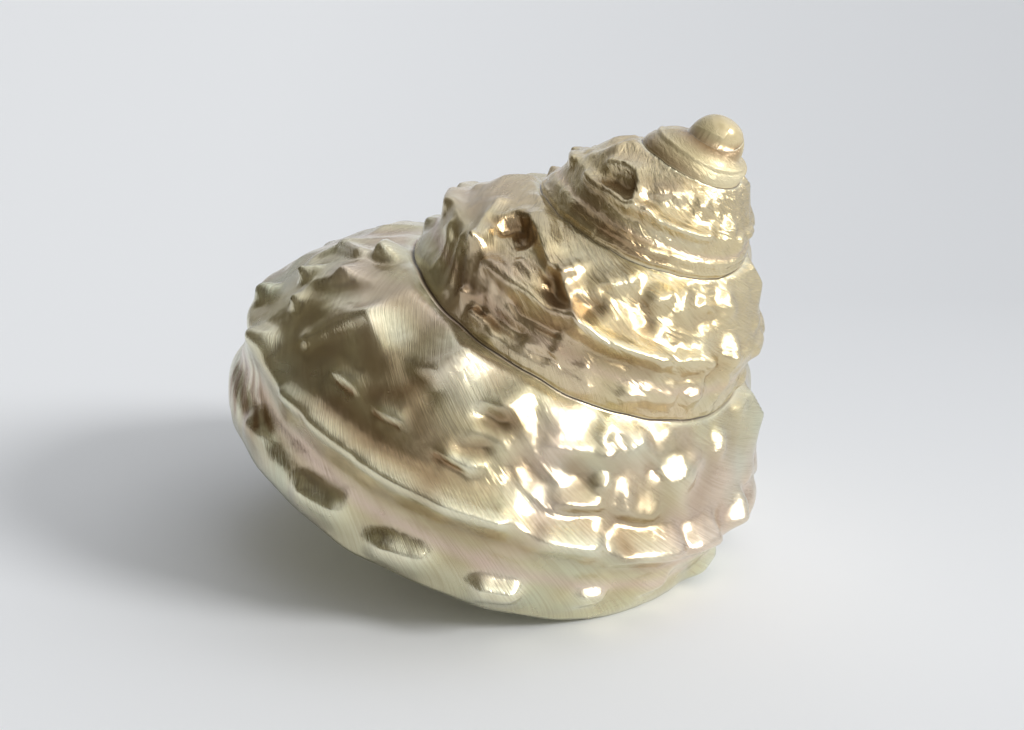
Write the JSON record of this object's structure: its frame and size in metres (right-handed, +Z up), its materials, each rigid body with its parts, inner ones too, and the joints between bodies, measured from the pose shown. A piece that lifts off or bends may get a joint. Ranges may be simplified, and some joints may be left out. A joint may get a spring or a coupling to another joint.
{
  "type": "top shell",
  "caption": "Large knobbed top shell polished to mother of pearl, lying on its mouth, with a hollow open whorl.",
  "frame": {"origin": "on the resting plane, under the middle of the resting shell's bounding box", "axes": "+Z up from the surface the shell lies on; +X towards the side the apex leans to; +Y towards the back of the lip, away from the viewer of the picture"},
  "size_m": [0.0944, 0.106, 0.0773],
  "materials": {
    "nacre": "polished champagne mother of pearl with a metallic sheen, cream at the apex"
  },
  "bodies": {
    "root": {"shell": "nacre"}
  },
  "joints": []
}
